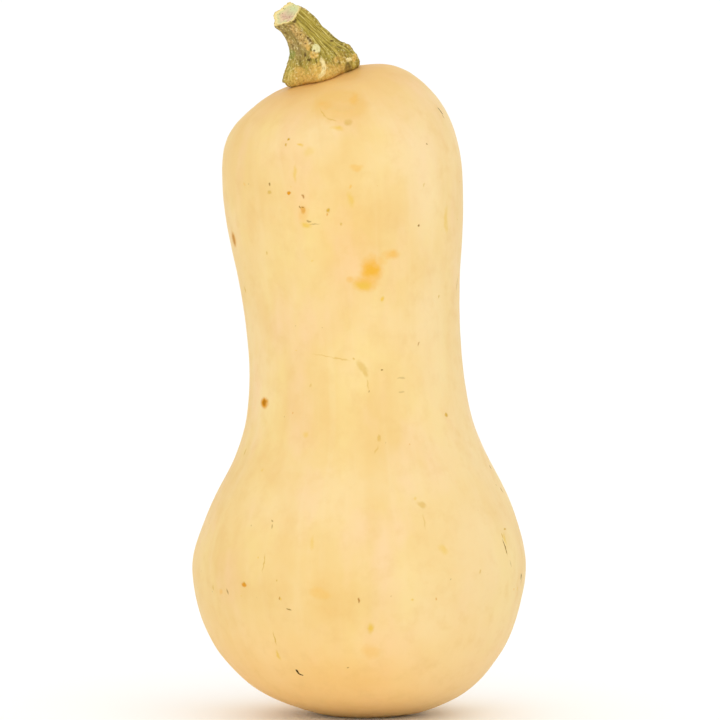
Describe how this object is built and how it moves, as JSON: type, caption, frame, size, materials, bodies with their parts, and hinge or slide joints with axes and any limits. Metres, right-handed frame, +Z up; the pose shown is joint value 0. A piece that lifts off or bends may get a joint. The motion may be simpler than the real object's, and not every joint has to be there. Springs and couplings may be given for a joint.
{
  "type": "butternut squash",
  "caption": "A whole pale tan butternut squash with a round seed end, a straight neck and a ridged cut stem, standing on the flattened patch at its blossom end",
  "frame": {"origin": "centre of the flat patch at the blossom end that the squash stands on", "axes": "+Z up along the fruit towards the stem; -X the way the stem leans; -Y the front, which the cut end of the stem also faces a little"},
  "size_m": [0.1198, 0.1197, 0.2567],
  "materials": {
    "skin": "satin",
    "stem": "matte"
  },
  "bodies": {
    "root": {"fruit": "skin", "stem": "stem"}
  },
  "joints": []
}
